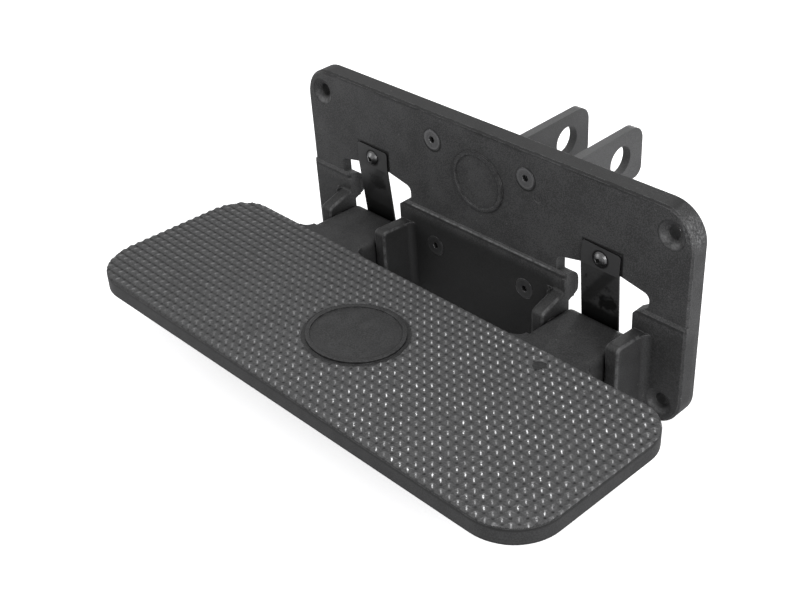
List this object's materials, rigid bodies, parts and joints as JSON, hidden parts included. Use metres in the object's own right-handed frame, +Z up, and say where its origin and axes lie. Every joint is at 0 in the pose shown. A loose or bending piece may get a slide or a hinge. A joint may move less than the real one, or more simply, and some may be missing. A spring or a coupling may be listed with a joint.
{
  "type": "hitch receiver step",
  "caption": "Folding rear step for a towing receiver: a coated plate with two bent tongues at its back and a wide studded tread hinged between cast ears, held by leaf springs.",
  "frame": {"origin": "middle of the cross bore for the receiver's hitch pin, between the two tongues", "axes": "+X to the step's right along the hitch pin, +Y towards the vehicle, +Z up"},
  "size_m": [0.362, 0.2981, 0.1425],
  "materials": {
    "plate_coat": "black textured powder coat on cast aluminium",
    "tread_coat": "black textured powder coat on cast aluminium, brighter on the stud tips",
    "bracket_coat": "dark grey coat on 6 mm steel plate",
    "screw_steel": "dark zinc plating",
    "spring_steel": "blackened spring steel, satin",
    "bright_steel": "plain stainless steel",
    "hinge_steel": "zinc plated",
    "bush_plastic": "filled bearing plastic"
  },
  "bodies": {
    "frame": {"mounting_plate": "plate_coat", "hitch_bracket_left": "bracket_coat", "hitch_bracket_right": "bracket_coat", "bracket_screw_upper_left": "screw_steel", "bracket_screw_upper_right": "screw_steel", "bracket_screw_lower_left": "screw_steel", "bracket_screw_lower_right": "screw_steel", "bracket_washer_upper_left": "screw_steel", "bracket_washer_upper_right": "screw_steel", "bracket_washer_lower_left": "screw_steel", "bracket_washer_lower_right": "screw_steel", "bracket_nut_upper_left": "screw_steel", "bracket_nut_upper_right": "screw_steel", "bracket_nut_lower_left": "screw_steel", "bracket_nut_lower_right": "screw_steel", "leaf_spring_left": "spring_steel", "leaf_screw_left": "bright_steel", "hinge_bolt_left": "hinge_steel", "leaf_spring_right": "spring_steel", "leaf_screw_right": "bright_steel", "hinge_bolt_right": "hinge_steel"},
    "step": {"step_platform": "tread_coat", "hinge_bush_left_a": "bush_plastic", "hinge_bush_left_b": "bush_plastic", "hinge_bush_right_a": "bush_plastic", "hinge_bush_right_b": "bush_plastic"}
  },
  "joints": [
    {"name": "step_fold", "type": "hinge", "parent": "frame", "child": "step", "pos_m": [0, -0.1202, -0.0446], "axis": [-1, 0, 0], "range_deg": [0, 87]}
  ]
}
